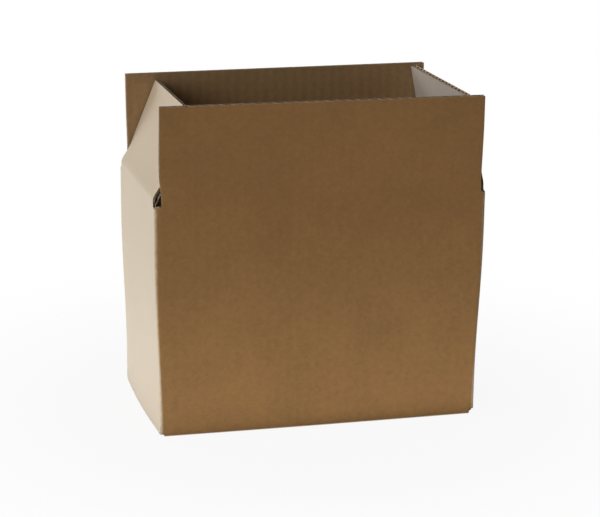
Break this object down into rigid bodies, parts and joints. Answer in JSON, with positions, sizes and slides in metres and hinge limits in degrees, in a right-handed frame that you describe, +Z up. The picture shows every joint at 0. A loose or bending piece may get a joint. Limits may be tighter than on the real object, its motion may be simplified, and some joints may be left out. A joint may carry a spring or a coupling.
{
  "type": "open cardboard box",
  "caption": "Open rectangular corrugated carton with a closed bottom, two long hinged flaps and two short hinged end flaps standing up around the mouth.",
  "frame": {"origin": "middle of the underside", "axes": "+X along the long panels, -Y towards the front panel, +Z up"},
  "size_m": [0.26, 0.1502, 0.259],
  "materials": {
    "kraft_board": "matte"
  },
  "bodies": {
    "carton": {"box_body": "kraft_board"},
    "front_lid": {"front_flap": "kraft_board"},
    "back_lid": {"back_flap": "kraft_board"},
    "left_lid": {"left_flap": "kraft_board"},
    "right_lid": {"right_flap": "kraft_board"}
  },
  "joints": [
    {"name": "front_flap_crease", "type": "hinge", "parent": "carton", "child": "front_lid", "pos_m": [0, -0.072, 0.1874], "axis": [1, 0, 0], "range_deg": [-4.9, 166]},
    {"name": "back_flap_crease", "type": "hinge", "parent": "carton", "child": "back_lid", "pos_m": [0, 0.072, 0.1874], "axis": [-1, 0, 0], "range_deg": [-1.9, 169]},
    {"name": "left_flap_crease", "type": "hinge", "parent": "carton", "child": "left_lid", "pos_m": [-0.13, 0, 0.183], "axis": [0, -1, 0], "range_deg": [-68.5, 191.5]},
    {"name": "right_flap_crease", "type": "hinge", "parent": "carton", "child": "right_lid", "pos_m": [0.13, 0, 0.183], "axis": [0, 1, 0], "range_deg": [-79.5, 180.5]}
  ]
}
